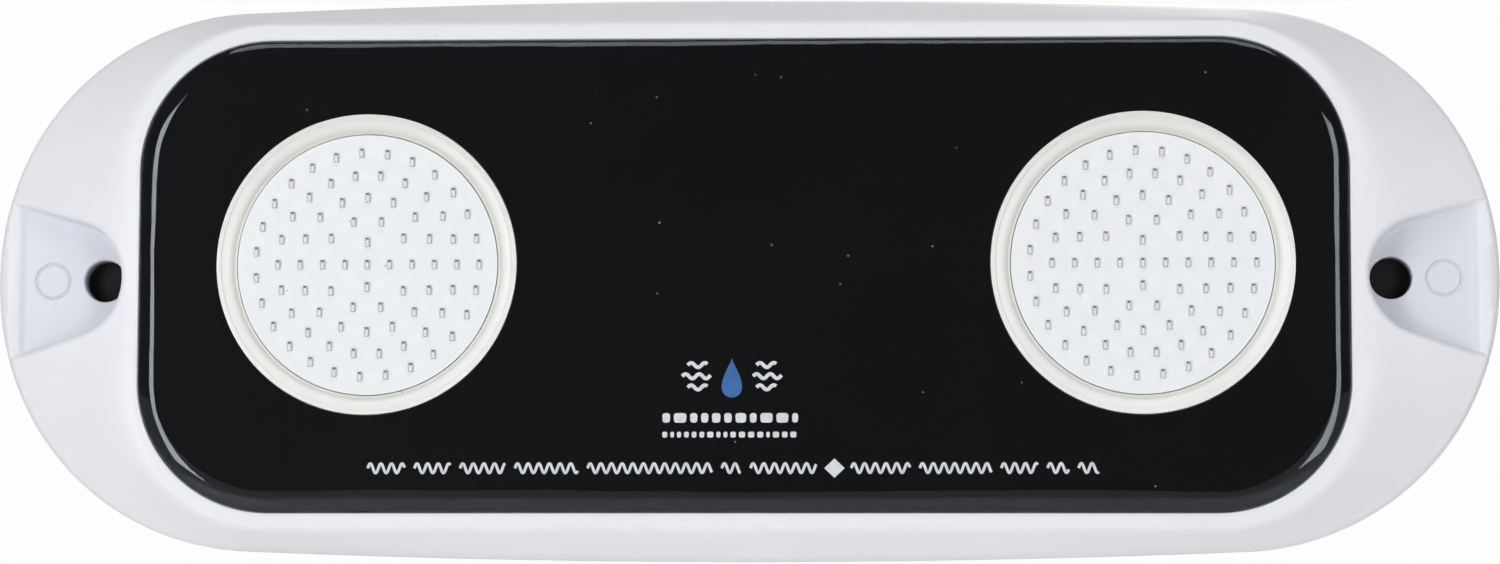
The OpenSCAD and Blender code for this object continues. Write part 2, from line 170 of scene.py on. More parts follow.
# %% [markdown]
# ## Shader maths in plain Python
# A finish is a small node tree. One class wraps an output socket, so that sums and products of
# textures read like ordinary maths, and one method adds any other node. Numbers that stay the same
# all over a surface are set on the shader's own sockets.

# %% Wrap a socket
class Flow:
    """An output of a node, which Python's own operators work on."""
    def __init__(self, tree, socket):
        self.tree, self.socket = tree, socket

    def maths(self, operation, first, second=None):
        values = {0: first} if second is None else {0: first, 1: second}
        return self.tree.add("ShaderNodeMath", {"operation": operation}, values)

    def __add__(self, other):
        return self.maths("ADD", self, other)

    def __radd__(self, other):
        return self.maths("ADD", other, self)

    def __sub__(self, other):
        return self.maths("SUBTRACT", self, other)

    def __rsub__(self, other):
        return self.maths("SUBTRACT", other, self)

    def __mul__(self, other):
        return self.maths("MULTIPLY", self, other)

    def __rmul__(self, other):
        return self.maths("MULTIPLY", other, self)

    def __pow__(self, other):
        return self.maths("POWER", self, other)

    def __abs__(self):
        return self.maths("ABSOLUTE", self)

    def __gt__(self, other):
        return self.maths("GREATER_THAN", self, other)

    def __lt__(self, other):
        return self.maths("LESS_THAN", self, other)

    def sine(self):
        return self.maths("SINE", self)

    def over(self, low, high):
        """0 below low, 1 above high, and a smooth rise between them."""
        return self.tree.add("ShaderNodeMapRange", {"interpolation_type": "SMOOTHSTEP"},
                             {"Value": self, "From Min": low, "From Max": high})

print("a Flow knows", [name.strip("_") for name in vars(Flow) if name.startswith("__") and callable(vars(Flow)[name])])

# %% Wrap a tree
class Tree:
    """The node tree of a material or of the world."""
    def __init__(self, owner):
        owner.use_nodes = True
        self.owner, self.nodes, self.links = owner, owner.node_tree.nodes, owner.node_tree.links
        self.nodes.clear()

    def add(self, kind, settings=None, values=None, out=0):
        node = self.nodes.new(kind)
        for name, value in (settings or {}).items():
            setattr(node, name, value)
        for key, value in (values or {}).items():
            socket = node.inputs[key]
            if isinstance(value, Flow):
                self.links.new(value.socket, socket)
            elif isinstance(value, (tuple, list)) and socket.type == "RGBA" and len(value) == 3:
                socket.default_value = (*value, 1)
            else:
                socket.default_value = value
        return Flow(self, node.outputs[out])

    def place(self):
        return self.add("ShaderNodeTexCoord", out="Object")

    def coordinates(self):
        return [self.add("ShaderNodeSeparateXYZ", None, {0: self.place()}, axis) for axis in "XYZ"]

    def noise(self, scale, detail=2.0, rough=0.5, vector=None):
        return self.add("ShaderNodeTexNoise", None,
                        {"Vector": vector or self.place(), "Scale": scale, "Detail": detail, "Roughness": rough}, "Fac")

    def stretch(self, x, y, z):
        return self.add("ShaderNodeVectorMath", {"operation": "MULTIPLY"}, {0: self.place(), 1: (x, y, z)})

    def blend(self, share, first, second):
        return self.add("ShaderNodeMix", {"data_type": "RGBA"}, {0: share, 6: first, 7: second}, 2)

    def bump(self, height, depth, strength=1.0):
        return self.add("ShaderNodeBump", None, {"Height": height, "Distance": depth, "Strength": strength})

    def surface(self, shader):
        self.add_output("ShaderNodeOutputMaterial", shader)
        return self.owner

    def add_output(self, kind, shader):
        node = self.nodes.new(kind)
        self.links.new(shader.socket, node.inputs["Surface"])

    def body(self, colour, roughness, **more):
        values = {"Base Color": colour, "Roughness": roughness}
        values.update({name.replace("_", " "): value for name, value in more.items()})
        return self.add("ShaderNodeBsdfPrincipled", None, values)

def new_tree(name):
    return Tree(bpy.data.materials.new(name))

print("a Tree can", [name for name in vars(Tree) if not name.startswith("__")])

# %% [markdown]
# ## The white moulding
# The housing is white plastic from a satin mould. Up close its colour drifts a little where the melt
# flowed, it has a very fine spark texture, and its shine changes where hands have rubbed it. A noise
# stretched along the flow gives the first, a fine one gives the bump, and a broad one the shine. The
# floors of the two screw pockets are coloured a darker, bluer grey, which is painted shade for their recess.

# %% Mix the white moulding
def white_moulding():
    tree = new_tree("white_moulding")
    flow = tree.noise(30, 3, 0.55, tree.stretch(1, 4, 3))
    clouds = tree.noise(9, 2)
    grain = tree.noise(2600, 2, 0.6)
    colour = tree.blend(flow.over(0.35, 0.7), (0.775, 0.785, 0.815), (0.80, 0.806, 0.83))
    specks = (tree.noise(420, 1) > 0.79)
    colour = tree.blend(specks * 0.25, colour, (0.62, 0.62, 0.64))
    x, depth, z = tree.coordinates()
    # Painted shade: the pocket floors are coloured a darker, bluer grey for the shade in their recess.
    pocket_shade_area = (abs(x) > 0.1235) * (abs(x) < 0.1475) * (abs(z) < 0.0172)
    sunk = depth.over(-0.0086, -0.0071) * pocket_shade_area
    colour = tree.blend(sunk * 0.85, colour, (0.665, 0.685, 0.75))
    return tree.surface(tree.body(colour, 0.36 + 0.1 * clouds, IOR=1.47, Specular_IOR_Level=0.4,
                                  Normal=tree.bump(grain, 0.00002, 0.35)))

housing_white = white_moulding()
print("made", housing_white.name)

# %% [markdown]
# ## The outline of the housing
# Seen from the front, the housing is a long oval of three arcs in each quarter: a tip arc, a tighter
# corner arc and a nearly straight side arc, each tangent to the next. The distance from any point to
# that outline is then simple, because every arc has a centre, and one formula gives it for a whole
# array of points at once.

# %% Measure distances to the outline
end_r, end_arc, side_r = 57.8, math.radians(25.5), 2430.0
end_centre = np.array([body_l / 2 - end_r, 0.0])
side_centre = np.array([0.0, body_w / 2 - side_r])
tip_dir = np.array([math.cos(end_arc), math.sin(end_arc)])
gap = end_centre - side_centre
corner_step = ((side_r - end_r) ** 2 - gap @ gap) / (2 * (gap @ tip_dir - (side_r - end_r)))
corner_r = end_r - corner_step
corner_centre = end_centre + corner_step * tip_dir
corner_arc = math.atan2(*(corner_centre - side_centre)[::-1])

def inset_of(x, y):
    """How far inside the housing's outline a point lies."""
    x, y = np.abs(x), np.abs(y)
    tip = np.arctan2(y, x - end_centre[0]) < end_arc
    side = np.arctan2(y - side_centre[1], x) > corner_arc
    from_tip = end_r - np.hypot(x - end_centre[0], y)
    from_side = side_r - np.hypot(x, y - side_centre[1])
    from_corner = corner_r - np.hypot(x - corner_centre[0], y - corner_centre[1])
    return np.where(side, from_side, np.where(tip & (x > end_centre[0]), from_tip, from_corner))

def outside_plate(x, y, half_x, half_y, r):
    """How far outside a rounded rectangle a point lies."""
    over_x, over_y = np.abs(x) - half_x + r, np.abs(y) - half_y + r
    return np.hypot(np.maximum(over_x, 0), np.maximum(over_y, 0)) + np.minimum(np.maximum(over_x, over_y), 0) - r

print("corner radius", round(corner_r, 1), "and the middle is", round(float(inset_of(0.0, 0.0)), 1), "from the edge")

# %% [markdown]
# ## Rings of points
# A skin needs the same number of points on every ring, so a ring's points are spaced by shares of its
# arcs and not by length. Only a quarter is worked out, and mirrors give the rest.

# %% Draw the rings
def outline(inset, steps=(28, 60, 44)):
    quarter = [(end_centre, end_r, 0, end_arc), (corner_centre, corner_r, end_arc, corner_arc),
               (side_centre, side_r, corner_arc, math.pi / 2)]
    points = []
    for (centre, r, start, stop), n in zip(quarter, steps):
        a = start + (stop - start) * np.arange(n) / n
        points.append(np.column_stack([centre[0] + (r - inset) * np.cos(a), centre[1] + (r - inset) * np.sin(a)]))
    first = np.vstack(points)
    return mirrored(first, [0.0, body_w / 2 - inset])

def mirrored(first, top):
    """A whole ring from its first quarter, which starts on the x axis, and its top point."""
    half = np.vstack([first, [top], first[:0:-1] * (-1, 1)])
    return np.vstack([half, [first[0] * (-1, 1)], half[:0:-1] * (1, -1)])

def plate_ring(half_x, half_y, r, steps=(28, 60, 60)):
    a = np.arange(steps[1]) / steps[1] * math.pi / 2
    end = np.column_stack([np.full(steps[0], half_x), (half_y - r) * np.arange(steps[0]) / steps[0]])
    corner = np.column_stack([half_x - r + r * np.cos(a), half_y - r + r * np.sin(a)])
    side = np.column_stack([(half_x - r) * (1 - np.arange(steps[2]) / steps[2]), np.full(steps[2], half_y)])
    return mirrored(np.vstack([end, corner, side]), [0.0, half_y])

def circle(centre_x, centre_y, r, n=72):
    a = np.arange(n) * 2 * math.pi / n
    return np.column_stack([centre_x + r * np.cos(a), centre_y + r * np.sin(a)])

print("points on the outline", len(outline(0)), "and on the opening", len(plate_ring(opening_x, opening_y, opening_r)))

# %% [markdown]
# ## The screw pockets
# Each ear has a sunk pocket for the screw's head. It is round towards the middle and flares out
# towards the tip, where a low lip closes it. Its wall is nearly upright, with a soft edge at the top
# and a small fillet at the foot. A distance to its outline is all that those need.

# %% Shape the pockets
pocket_r, pocket_x, pocket_end = 11.5, body_l / 2 - 14.8, body_l / 2 - 4.4
pocket_floor, lip_top = 7.3, 8.35
wall_run, foot_round = 0.3, 0.9
far = np.array([pocket_end - pocket_x, 15.0])
flare_angle = math.atan2(far[1], far[0]) + math.acos(pocket_r / np.hypot(*far))
mark_x, mark_r = 139.0, 3.45
print("pocket flares by", round(90 - math.degrees(flare_angle), 1), "degrees, floor at", pocket_floor)

def outside_pocket(x, y):
    """How far outside the pocket's outline a point lies."""
    across, up = np.abs(x) - pocket_x, np.abs(y)
    straight = across * math.cos(flare_angle) + up * math.sin(flare_angle) - pocket_r
    round_end = np.hypot(across, up) - pocket_r
    return np.where(np.arctan2(up, across) > flare_angle, round_end, straight)

def pocket_line(offset):
    """The pocket's outline, grown by offset, from one side of the lip round to the other."""
    r = pocket_r + offset
    a = np.linspace(flare_angle, 2 * math.pi - flare_angle, 90)
    bend = np.column_stack([pocket_x + r * np.cos(a), r * np.sin(a)])
    reach = np.linspace(0, 30, 60)[1:]
    down = np.array([math.sin(flare_angle), -math.cos(flare_angle)])
    leg = bend[0] + reach[:, None] * down
    line = np.vstack([leg[::-1], bend, leg * (1, -1)])
    return line[inset_of(line[:, 0], line[:, 1]) > 0.02]

# %% [markdown]
# ## Rounding, blending and fading
# Three small curves do the mould maker's work. A quarter of a circle rounds an edge, a soft minimum
# joins two slopes without a crease, and an eased step fades one level into another.

# %% Write the three curves
def quarter_round(d, r):
    """Drop of a rounded edge of radius r at distance d inside it."""
    inside = np.clip(r - np.where(np.abs(d) < 1e-3, 0, d), 0, r)
    return r - np.sqrt(np.maximum(r * r - inside * inside, 0))

def soft_lower(a, b, k):
    share = np.clip(0.5 + 0.5 * (b - a) / k, 0, 1)
    return b * (1 - share) + a * share - k * share * (1 - share)

def smooth_rise(v, low, high):
    t = np.clip((v - low) / (high - low), 0, 1)
    return t * t * (3 - 2 * t)

print("an edge of radius 1 drops", float(quarter_round(0.0, 1.0)), "at its corner and",
      round(float(quarter_round(0.5, 1.0)), 3), "half way in")

# %% [markdown]
# ## One height for every point of the front
# The front of the housing is a slope that rises from the flange's edge to a softly crowned rim. With
# the outline's distance on one side and the rim's on the other, the slope is their ratio. Pockets,
# mould marks and hole edges are then taken off it, so that every edge blends as it does in a mould.

# %% Write the height of the front
edge_round, hole_round, opening_round, pocket_top_round = 1.1, 0.5, 0.35, 1.1
crest_blend, crest_bow, crest_reach = 1.3, 0.012, 4.0
mark_depth, mark_line_depth, mark_line_half = 0.14, 0.36, 0.30

def front_height(x, y):
    inset = inset_of(x, y)
    past_rim = outside_plate(x, y, rim_x, rim_y, rim_r)
    share = inset / np.maximum(inset + past_rim, 0.5)
    slope = edge_top + 0.2 + (rim_h - 0.9 - edge_top) * share + 0.9 * share * (1 - share)
    crest = rim_h - 0.02 - crest_bow * np.maximum(past_rim + crest_reach, 0) ** 2
    form = soft_lower(slope, crest, crest_blend)
    off_pocket = outside_pocket(x, y)
    floor = pocket_floor + (lip_top - pocket_floor) * smooth_rise(np.abs(x), pocket_end - 1.3, pocket_end + 0.7)
    floor = floor + 0.12 * smooth_rise(np.abs(x), pocket_end + 0.3, pocket_end + 2.0)
    room = np.maximum(form - floor, 0)
    top, foot = np.minimum(pocket_top_round, 0.45 * room), np.minimum(foot_round, 0.4 * room)
    ledge = form - np.where(top > 1e-3, quarter_round(off_pocket - wall_run, np.maximum(top, 1e-3)), 0)
    base = floor + np.where(foot > 1e-3, quarter_round(-off_pocket, np.maximum(foot, 1e-3)), 0)
    climb = np.clip(off_pocket / wall_run, 0, 1)
    wall = (floor + foot) * (1 - climb) + (form - top) * climb
    height = np.where(off_pocket >= wall_run, ledge, np.where(off_pocket <= 0, base, wall))
    height = np.where(form < floor, form, height)
    from_mark = np.hypot(np.abs(x) - mark_x, y)
    sunk = mark_depth * (1 - smooth_rise(from_mark, mark_r - 0.1, mark_r + 0.12))
    ring = mark_line_depth * np.maximum(1 - np.abs(from_mark - mark_r) / mark_line_half, 0)
    height = height - (sunk + ring) * (off_pocket < 0)
    from_hole = np.hypot(np.abs(x) - hole_x, y) - hole_r
    height = height - np.where(from_hole < hole_round, quarter_round(from_hole, hole_round), 0)
    edge = quarter_round(inset, edge_round)
    inner = outside_plate(x, y, opening_x, opening_y, opening_r)
    return height - edge - quarter_round(inner, opening_round)

print("rim height", round(float(front_height(np.array([0.0]), np.array([opening_y + 2]))[0]), 2),
      "pocket floor", round(float(front_height(np.array([134.0]), np.array([0.0]))[0]), 2))

# %% [markdown]
# ## Laying out the front's mesh
# A plain grid would saw across the pocket's steep wall. Here the mesh lines follow the features
# instead: rings round the whole housing, lines along each pocket's wall, and circles round each hole
# and mould mark. A constrained triangulation joins them, and the true slope of the height formula
# gives each point its normal, so the triangles never show.

# %% Join points with triangles
def closed_edges(start, n):
    return [(start + k, start + (k + 1) % n) for k in range(n)]

def triangles_between(points, edges, keep):
    flat = [Vector((float(x), float(y))) for x, y in points]
    found, _, faces, _, _, _ = delaunay_2d_cdt(flat, edges, [], 0, 1e-5, False)
    xy = np.array([(v.x, v.y) for v in found])
    faces = np.array([f for f in faces if len(f) == 3])
    middle = xy[faces].mean(axis=1)
    faces = faces[keep(middle[:, 0], middle[:, 1])]
    one, two, three = xy[faces[:, 0]], xy[faces[:, 1]], xy[faces[:, 2]]
    turn = (two[:, 0] - one[:, 0]) * (three[:, 1] - one[:, 1]) - (two[:, 1] - one[:, 1]) * (three[:, 0] - one[:, 0])
    faces[turn < 0] = faces[turn < 0][:, ::-1]
    return xy, faces[np.abs(turn) > 1e-9]

print("a square makes", len(triangles_between(((0, 0), (1, 0), (1, 1), (0, 1)), closed_edges(0, 4),
                                              lambda x, y: x > 0)[1]), "triangles")

# %% [markdown]
# ## The lines that the mesh follows
# Distances from each feature are listed once. They lie close together where the surface bends
# quickly, as over a rounded edge, and far apart where it is nearly flat.

# %% List the mesh lines
edge_insets = (0.0, 0.06, 0.16, 0.32, 0.55, 0.85, 1.1, 1.5)
rim_steps = (0.0, 0.03, 0.1, 0.2, 0.35, 0.7, 1.4, 2.2, 2.9, 3.4, 3.9, 4.4, 4.9)
hole_steps = (0, 0.04, 0.12, 0.25, 0.4, 0.5, 0.8)
mark_steps = (-0.6, -0.28, -0.2, -0.1, 0.0, 0.1, 0.2, 0.28, 0.5)
wall_steps = (-1.6, -0.9, -0.6, -0.35, -0.15, 0.0, 0.1, 0.2, 0.3, 0.4, 0.55, 0.8, 1.1, 1.4, 2.0)
lip_steps = (-1.4, -0.9, -0.55, -0.2, 0.15, 0.5, 0.9, 1.4)

def front_lines():
    """Lines of points, each with its kind: a kept edge, a whole ring, an open wall line or loose points."""
    lines = [(outline(d), "ring" if d else "edge") for d in edge_insets]
    lines += [(plate_ring(opening_x + d, opening_y + d * rim_out_y / rim_out_x, opening_r + d * 0.85),
               "loose" if d else "edge") for d in rim_steps]
    foot, crown = outline(1.5), plate_ring(opening_x + 4.9, opening_y + 3.75, opening_r + 4.2, (28, 60, 44))
    lines += [(foot * (1 - share) + crown * share, "loose") for share in np.linspace(0.1, 0.93, 14)]
    for side in (-1, 1):
        lines += [(circle(side * hole_x, 0, hole_r + d), "loose" if d else "edge") for d in hole_steps]
        lines += [(circle(side * mark_x, 0, mark_r + d), "loose") for d in mark_steps]
        lines += [(pocket_line(d) * (side, 1), "open") for d in wall_steps]
        y = np.linspace(-19, 19, 77)
        lines += [(np.column_stack([np.full(len(y), side * (pocket_end + x)), y]), "loose") for x in lip_steps]
        grid = [(side * x, y) for x in np.arange(124, 147, 1.3) for y in np.arange(-17, 17.1, 1.3)]
        lines.append((np.array(grid), "loose"))
    return lines

print(len(front_lines()), "lines on the front")

# %% Lay out the front
def front_layout(hair=1e-6):
    """The points on the housing's face, and the pairs of them that must stay joined."""
    points, edges, count = [], [], 0
    for line, kind in front_lines():
        x, y = line.T
        inset, past_opening = inset_of(x, y), outside_plate(x, y, opening_x, opening_y, opening_r)
        from_hole = np.hypot(np.abs(x) - hole_x, y) - hole_r
        ok = (inset > -hair) & (past_opening > -hair) & (from_hole > -hair)
        if kind == "loose":
            off = outside_pocket(x, y)
            ok &= (inset > 0.05) & (past_opening > 0.02) & (from_hole > 0.01)
            ok &= (off < -0.95) | (off > 1.45) | (np.abs(x) < 110)
        kept = line[ok]
        if kind == "open":
            edges += [(count + k, count + k + 1) for k in range(len(kept) - 1)
                      if np.hypot(*(kept[k + 1] - kept[k])) < 2.0]
        elif kind == "edge":
            edges += closed_edges(count, len(kept))
        points.append(kept)
        count += len(kept)
    return np.vstack(points), edges

layout, layout_edges = front_layout()
front_xy, front_faces = triangles_between(
    layout, layout_edges,
    lambda x, y: (inset_of(x, y) > 0) & (outside_plate(x, y, opening_x, opening_y, opening_r) > 0)
    & (np.hypot(np.abs(x) - hole_x, y) > hole_r * 0.9995))
print("front", len(front_xy), "points", len(front_faces), "triangles")

# %% [markdown]
# ## Walls, tub and back of the housing
# Behind the front skin come the plain walls: the flange's edge, the flat back that the rubber pad
# lies on, the opening for the front panel with its ledge, and the tub behind it. They are stacks of
# rings, and the flat ones are triangulated around their holes in the same way as the front.

# %% Fill a flat face
def at_height(ring, h):
    return np.column_stack([ring, np.zeros(len(ring)) + h])

def flat_face(outer, holes, h, up):
    """A flat face with round holes, which looks forwards (up) or backwards."""
    rings = [outer] + [circle(x, y, r) for x, y, r in holes]
    edges, start = [], 0
    for ring in rings:
        edges += closed_edges(start, len(ring))
        start += len(ring)
    reach = np.abs(outer).max(axis=0) + 1
    grid = np.array([(x, y) for x in np.arange(-reach[0], reach[0], 8) for y in np.arange(-reach[1], reach[1], 8)])
    def inside(x, y):
        """Even-odd rule over the outer ring."""
        x0, y0 = outer[:, 0][:, None], outer[:, 1][:, None]
        x1, y1 = np.roll(outer[:, 0], -1)[:, None], np.roll(outer[:, 1], -1)[:, None]
        cross = (y0 > y) != (y1 > y)
        slope = (x1 - x0) * (y - y0) / np.where(np.abs(y1 - y0) < 1e-12, 1e-12, y1 - y0) + x0
        return (cross & (x < slope)).sum(axis=0) % 2 == 1
    clear = inside(grid[:, 0], grid[:, 1])
    for x, y, r in holes:
        clear &= np.hypot(grid[:, 0] - x, grid[:, 1] - y) > r + 1
    edge_gap = np.min(np.hypot(grid[:, None, 0] - outer[None, :, 0], grid[:, None, 1] - outer[None, :, 1]), axis=1)
    points = np.vstack(rings + [grid[clear & (edge_gap > 1)]])
    def keep(x, y):
        ok = inside(x, y)
        for hx, hy, r in holes:
            ok &= np.hypot(x - hx, y - hy) > r * 0.9995
        return ok
    xy, faces = triangles_between(points, edges, keep)
    return at_height(xy, h), faces if up else faces[:, ::-1]

print("a washer's face has", len(flat_face(circle(0, 0, 20), [(0, 0, 5)], 0, True)[1]), "triangles")

# %% Stack the walls
screw_holes = [(-hole_x, 0, hole_r), (hole_x, 0, hole_r)]
gland_hole = [(0, gland_y, 8.1)]
front_h = front_height(front_xy[:, 0], front_xy[:, 1])
front = (np.column_stack([front_xy, front_h]), front_faces)
edge_h = front_height(*outline(0).T)
back_round = ((0.5, back_h), (0.15, back_h + 0.15), (0, back_h + 0.6), (0, 4.5), (0, edge_h))
edge_wall = skin([at_height(outline(inset), h) for inset, h in back_round])
back_face = flat_face(outline(0.5), screw_holes + gland_hole, back_h, False)
lip_h = front_height(*plate_ring(opening_x, opening_y, opening_r).T)
ledge_x, ledge_y, ledge_r = opening_x - 2.2, opening_y - 2.2, opening_r - 2.2
tub = skin([at_height(plate_ring(opening_x, opening_y, opening_r), lip_h),
            at_height(plate_ring(opening_x, opening_y, opening_r), panel_back),
            at_height(plate_ring(ledge_x, ledge_y, ledge_r), panel_back),
            at_height(plate_ring(ledge_x, ledge_y, ledge_r), floor_h)])
tub_floor = flat_face(plate_ring(ledge_x, ledge_y, ledge_r), gland_hole, floor_h, True)
bores = []
for x, y, r in screw_holes + gland_hole:
    top = floor_h if r > 5 else front_height(*circle(x, y, r).T)
    bores.append(skin([at_height(circle(x, y, r), top), at_height(circle(x, y, r), back_h)]))
housing_points, housing_faces, _ = join([front, edge_wall, back_face, tub, tub_floor] + bores)
print("housing", len(housing_points), "points", len(housing_faces), "faces")

# %% [markdown]
# ## True slopes for the front
# Flat triangles would show in a soft highlight. The height formula knows the real slope anywhere, so
# each point of the front is given that slope as its normal, and smooth shading does the rest.

# %% Give the front its slopes

def front_normals(mesh):
    """The front's true slope at each of its points, and nothing for the walls, which shade themselves."""
    co = np.zeros(len(mesh.vertices) * 3)
    mesh.vertices.foreach_get("co", co)
    co = co.reshape(-1, 3) / MM
    x, y, h = co[:, 0], co[:, 2], -co[:, 1]
    d = 0.012
    on_front = np.abs(front_height(x, y) - h) < 0.01
    on_front &= (inset_of(x, y) > 0.02) & (outside_plate(x, y, opening_x, opening_y, opening_r) > 0.02)
    on_front &= np.hypot(np.abs(x) - hole_x, y) > hole_r + 0.02
    rise_x = (front_height(x + d, y) - front_height(x - d, y)) / (2 * d)
    rise_y = (front_height(x, y + d) - front_height(x, y - d)) / (2 * d)
    normal = np.column_stack([-rise_x, -np.ones(len(x)), -rise_y])
    normal /= np.linalg.norm(normal, axis=1)[:, None]
    normal[~on_front] = 0
    return normal.tolist()

piece("housing_moulding", housing_points, housing_faces, "housing", [housing_white], ("housing",),
      crease=50, normals=front_normals)

# %% [markdown]
# ## The clear coat's finish
# The front is sealed with a poured clear resin that domes over the black panel. Light passes it
# straight through, and a mirror of the lamps lies on top, weak head on and strong at a glancing
# angle. A Fresnel node would block lamps from behind the surface, so the share comes from the facing
# angle's fifth power instead, which is the same from both sides. Poured resin is never quite flat, so
# a broad, shallow bump bends the reflections. Where the resin meets the panel there is no
# reflection at all, only a few grains of dust that settled before it cured.

# %% Mix the clear coat
def clear_resin():
    tree = new_tree("clear_resin")
    swell = tree.noise(28, 2, 0.4)
    normal = tree.bump(swell, 0.0003, 0.35)
    through = tree.add("ShaderNodeBsdfTransparent", None, {"Color": (0.985, 0.99, 1.0)})
    mirror = tree.add("ShaderNodeBsdfGlossy", None, {"Color": (0.86, 0.91, 1.0), "Roughness": 0.045, "Normal": normal})
    glance = tree.add("ShaderNodeLayerWeight", None, {"Blend": 0.5, "Normal": normal}, "Facing")
    head_on = 0.04
    share = head_on + (1 - head_on) * glance ** 5.0
    return tree.surface(tree.add("ShaderNodeMixShader", None, {0: share, 1: through, 2: mirror}))

def settled_dust():
    tree = new_tree("settled_dust")
    cells = tree.add("ShaderNodeTexVoronoi", None, {"Vector": tree.place(), "Scale": 190.0}, "Distance")
    chance = tree.noise(160, 0, 0.5)
    grains = (cells < 0.040) * (chance > 0.515)
    through = tree.add("ShaderNodeBsdfTransparent", None, {"Color": (1.0, 1.0, 1.0)})
    grain = tree.add("ShaderNodeBsdfDiffuse", None, {"Color": (0.5, 0.55, 0.56)})
    return tree.surface(tree.add("ShaderNodeMixShader", None, {0: grains * 0.55, 1: through, 2: grain}))

coat_finishes = [clear_resin(), settled_dust()]
print("coat", [m.name for m in coat_finishes])

# %% [markdown]
# ## Pouring the coat
# Surface tension rounds the resin's edge, like a drop on a table. From the wall of the opening its
# slope falls quickly from nearly upright to about twenty degrees, runs on for a while, and then fades
# into the flat. The slope is what decides how wide a reflection is, so the angles are set and the
# height is their running sum. The edge wanders a little from place to place, as a poured one does,
# and seeded waves of several lengths give that wander.

# %% Pour the coat
def wander(n, seed, waves):
    """A smooth closed line of n values round 0, the sum of waves of (count, size)."""
    chance = np.random.default_rng(seed)
    a = np.arange(n) * 2 * math.pi / n
    total = np.zeros(n)
    for low, high, size in waves:
        for turns in range(low, high):
            total += size / math.sqrt(high - low) * chance.normal() * np.cos(turns * a + chance.uniform(0, 6.28))
    return total

ring_points = len(plate_ring(50, 40, 20))
edge_wander = wander(ring_points, 4, [(5, 16, 0.05), (16, 60, 0.03), (60, 140, 0.012)])
width_wander = wander(ring_points, 9, [(3, 12, 0.05), (12, 45, 0.02)])
coat_rise = coat_top - coat_base - 0.16
edge_width = 4.5
slope_at = np.linspace(0, 1, 400)
slope_angle = np.interp(slope_at, [0, 0.06, 0.18, 0.56, 0.76, 1], [80, 42, 19.5, 13, 4, 0])
climbed = np.cumsum(np.tan(np.radians(slope_angle)))
climbed = (climbed - climbed[0]) / (climbed[-1] - climbed[0])
edge_base = plate_ring(opening_x, opening_y, opening_r)
edge_inner = plate_ring(opening_x - edge_width, opening_y - edge_width, opening_r - edge_width)
coat_rings = []
for share in (0, 0.008, 0.02, 0.035, 0.055, 0.08, 0.11, 0.15, 0.2, 0.26, 0.33, 0.4, 0.47, 0.55, 0.62, 0.7, 0.8, 0.9, 1):
    inset = 0.16 + edge_wander * (1 - share) + edge_width * (1 + width_wander) * share
    ring = edge_base + (edge_inner - edge_base) * (np.maximum(inset, 0.04) / edge_width)[:, None]
    coat_rings.append(at_height(ring, coat_base + 0.1 + coat_rise * np.interp(share, slope_at, climbed)))
for depth, extra in ((8, 0.004), (15, 0.008), (24, 0.012)):
    shrink = plate_ring(opening_x - depth, opening_y - depth, max(opening_r - depth, 3))
    coat_rings.append(at_height(shrink, coat_rings[-1][0, 2] + extra))
coat_rings.insert(0, at_height(coat_rings[0][:, :2], coat_base))
dome = skin(coat_rings)
lid = flat_face(coat_rings[-1][:, :2], [], coat_rings[-1][0, 2], True)
bond = flat_face(coat_rings[0][:, :2], [], coat_base, False)
coat_points, coat_faces, parts = join([dome, lid, bond])
piece("poured_coat", coat_points, coat_faces, "clear_coat", coat_finishes, ("clear_coat",), crease=40,
      face_finish=[0 if p < 2 else 1 for p in parts])

# %% [markdown]
# ## The black panel
# Under the coat lies a sheet printed black on its face. It keeps its measured shape. Printed black
# is not one colour: it is a deep blue-black with very faint clouds where the ink lies thinner.

# %% Print the panel black
def black_print():
    tree = new_tree("black_print")
    clouds = tree.noise(14, 3, 0.6)
    grain = tree.noise(1500, 2)
    colour = tree.blend(clouds.over(0.4, 0.75), (0.0005, 0.0009, 0.0013), (0.0011, 0.0016, 0.0021))
    return tree.surface(tree.body(colour, 0.5 + 0.12 * grain, Specular_IOR_Level=0.1))

def dress(node, finish):
    """Gives a measured piece its finish and leaves its shape alone."""
    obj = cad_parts[node]
    if not obj.material_slots:
        obj.data.materials.append(finish)
    for slot in obj.material_slots:
        slot.material = finish
    print(node, "wears", finish.name)

dress("front_panel", black_print())

# %% [markdown]
# ## Generic marks printed on the panel
# A maker prints its mark and a line of words here. They aren't copied. Plain ornaments take their
# places: a blue drop between white ripples, two rows of small bars, and a line of ripples with a
# lozenge in it. Each is ink, so it is a thin flat shape just above the black, under the clear coat.

# %% Mix the inks
def ink(name, colour, worn):
    tree = new_tree(name)
    patches = tree.noise(700, 3, 0.6)
    shade = tree.blend(patches.over(0.3, 0.75), colour, worn)
    return tree.surface(tree.body(shade, 0.45 + 0.1 * patches, Specular_IOR_Level=0.2))

white_ink = ink("white_ink", (0.78, 0.79, 0.80), (0.66, 0.67, 0.68))
blue_ink = ink("blue_ink", (0.055, 0.17, 0.42), (0.045, 0.14, 0.36))
print("made", white_ink.name, blue_ink.name)

# %% [markdown]
# ## Shapes of ink
# Every mark is a thin plate with a flat top, and it is drawn as real geometry so that its edges stay
# crisp from close by. A ripple is a ribbon of even width along a sine curve.

# %% Cut shapes of ink
ink_low, ink_high = panel_top + 0.008, panel_top + 0.026

def plate_of(outline_points):
    """A thin flat shape of ink from its outline."""
    ring = np.asarray(outline_points, float)
    n = len(ring)
    points = np.vstack([at_height(ring, ink_low), at_height(ring, ink_high)])
    sides = [(k, (k + 1) % n, n + (k + 1) % n, n + k) for k in range(n)]
    return points, sides + [tuple(range(2 * n - 1, n - 1, -1))[::-1], tuple(range(n - 1, -1, -1))]

